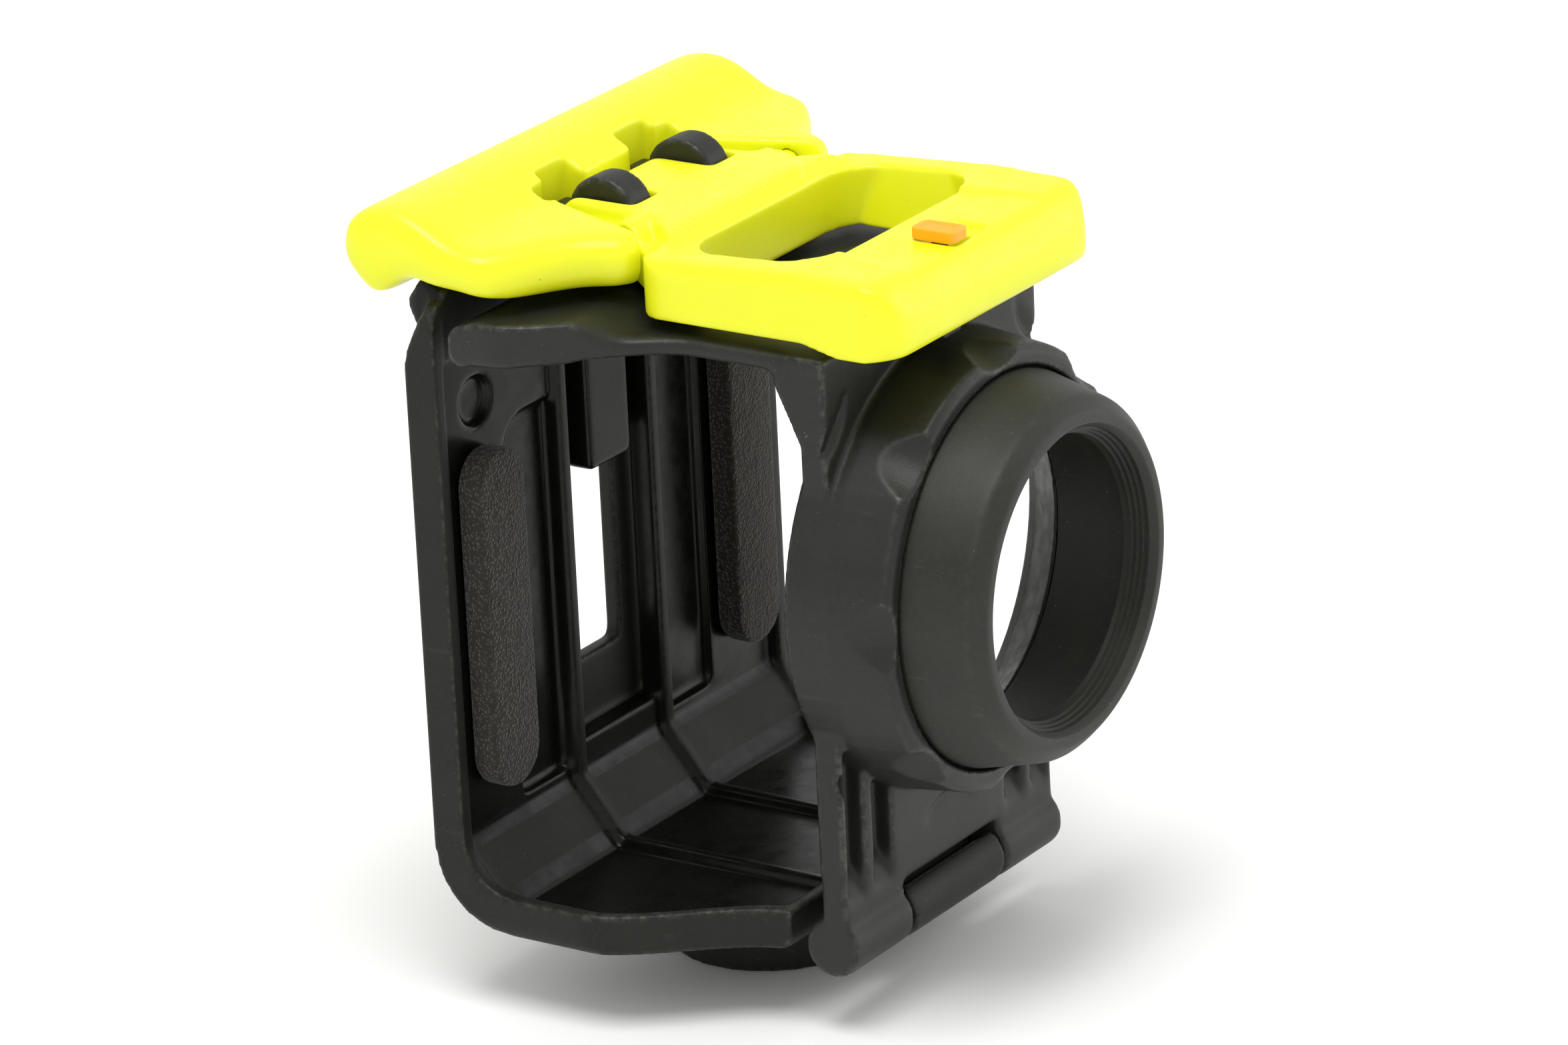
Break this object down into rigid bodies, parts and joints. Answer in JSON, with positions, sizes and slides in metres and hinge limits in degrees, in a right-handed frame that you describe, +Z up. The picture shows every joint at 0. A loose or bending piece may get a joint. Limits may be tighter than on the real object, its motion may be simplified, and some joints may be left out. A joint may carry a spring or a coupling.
{
  "type": "action camera housing",
  "caption": "Open skeleton housing for a cube action camera: hinged front door with a round lens barrel, a finger-loop over-centre latch on top and a threaded boss underneath.",
  "frame": {"origin": "on the underside of the round boss, at the middle of the housing's width and depth", "axes": "+Z up, lens looking along -Y, +X to the right of someone facing the lens from behind the housing"},
  "size_m": [0.054, 0.0591, 0.0752],
  "materials": {
    "black_plastic": "fine grained satin black",
    "barrel_plastic": "fine grained satin black",
    "yellow_plastic": "satin fluorescent yellow",
    "orange_plastic": "satin orange",
    "foam": "closed-cell foam",
    "steel_pin": "ground",
    "brass_insert": "turned"
  },
  "bodies": {
    "frame": {"rear_frame": "black_plastic", "tripod_insert": "brass_insert", "foam_pad_left": "foam", "foam_pad_right": "foam"},
    "door": {"front_door": "black_plastic", "lens_barrel": "barrel_plastic", "hinge_rod": "steel_pin", "lever_pin": "steel_pin"},
    "lever": {"latch_lever": "yellow_plastic", "hook_pin": "yellow_plastic"},
    "hook": {"latch_hook": "yellow_plastic"},
    "lock": {"lock_button": "orange_plastic", "lock_bolt": "black_plastic"}
  },
  "joints": [
    {"name": "door_hinge", "type": "hinge", "parent": "frame", "child": "door", "pos_m": [0, -0.0135, 0.0084], "axis": [1, 0, 0], "range_deg": [0, 90]},
    {"name": "lever_pivot", "type": "hinge", "parent": "door", "child": "lever", "pos_m": [0, 0.014, 0.0704], "axis": [-1, 0, 0], "range_deg": [0, 90]},
    {"name": "hook_pivot", "type": "hinge", "parent": "lever", "child": "hook", "pos_m": [0, 0.0083, 0.0701], "axis": [1, 0, 0], "range_deg": [0, 69]},
    {"name": "lock_slide", "type": "slide", "parent": "lever", "child": "lock", "axis": [1, 0, 0], "range_m": [0, 0.0035]}
  ],
  "couplings": [
    {"joint": "lever_pivot", "follows": "door_hinge", "ratio": 1},
    {"joint": "hook_pivot", "follows": "door_hinge", "ratio": 0.7667}
  ]
}
